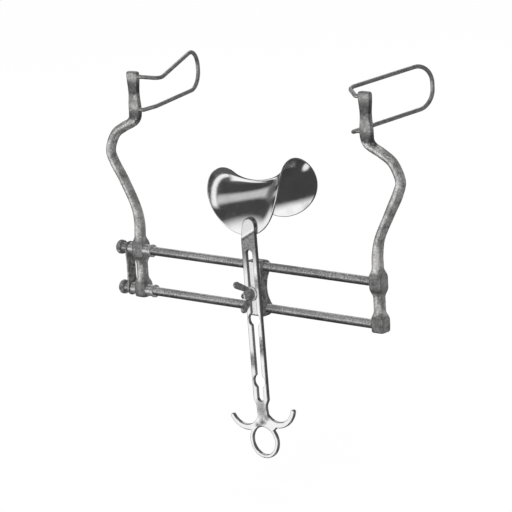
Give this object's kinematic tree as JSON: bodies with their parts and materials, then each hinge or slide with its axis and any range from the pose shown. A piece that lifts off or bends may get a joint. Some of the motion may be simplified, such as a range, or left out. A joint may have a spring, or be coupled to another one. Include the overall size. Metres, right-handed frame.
{
  "type": "abdominal retractor",
  "caption": "Self-retaining wound retractor: arms on slide rods with wire side blades, and a saddle-shaped centre blade on a slotted handle.",
  "frame": {"origin": "on the flat back of the carriage, in the plane of the two rods' axes and midway between them", "axes": "+X along the rods from the sliding arm to the fixed arm, +Y down into the wound, +Z along the arms to their blades"},
  "size_m": [0.2554, 0.0954, 0.2622],
  "materials": {
    "satin_steel": "satin, blasted",
    "dark_steel": "ground, darker",
    "bright_steel": "polished",
    "mirror_steel": "mirror polished"
  },
  "bodies": {
    "frame": {"upper_rod": "dark_steel", "lower_rod": "dark_steel", "fixed_arm": "satin_steel", "fixed_side_blade": "satin_steel", "end_link": "dark_steel"},
    "sliding_arm": {"sliding_arm": "satin_steel", "upper_sleeve": "bright_steel", "lower_sleeve": "bright_steel", "sliding_side_blade": "satin_steel"},
    "carriage": {"carriage": "dark_steel", "clamp_stud": "dark_steel"},
    "clamp_washer": {"clamp_washer": "dark_steel"},
    "centre_blade": {"blade_handle": "bright_steel", "centre_blade": "mirror_steel"},
    "wing_nut": {"wing_nut": "dark_steel"},
    "upper_end_screw": {"upper_end_screw": "dark_steel"},
    "lower_end_screw": {"lower_end_screw": "dark_steel"}
  },
  "joints": [
    {"name": "arm_slide", "type": "slide", "parent": "frame", "child": "sliding_arm", "axis": [1, 0, 0], "range_m": [0, 0.075]},
    {"name": "carriage_slide", "type": "slide", "parent": "frame", "child": "carriage", "axis": [1, 0, 0], "range_m": [-0.075, 0.085]},
    {"name": "blade_swivel", "type": "hinge", "parent": "carriage", "child": "clamp_washer", "pos_m": [0, 0, -0.0024], "axis": [0, -1, 0], "range_deg": [-30, 30]},
    {"name": "blade_slide", "type": "slide", "parent": "clamp_washer", "child": "centre_blade", "axis": [0.0244, 0, -0.9997], "range_m": [-0.0715, 0.016]},
    {"name": "wing_nut_turn", "type": "hinge", "parent": "carriage", "child": "wing_nut", "pos_m": [0, 0, -0.0024], "axis": [0, -1, 0], "range_deg": [0, 450]},
    {"name": "upper_screw_turn", "type": "hinge", "parent": "frame", "child": "upper_end_screw", "pos_m": [-0.121, 0, 0.0142], "axis": [1, 0, 0], "range_deg": [0, 360]},
    {"name": "lower_screw_turn", "type": "hinge", "parent": "frame", "child": "lower_end_screw", "pos_m": [-0.121, 0, -0.0142], "axis": [1, 0, 0], "range_deg": [0, 360]}
  ]
}
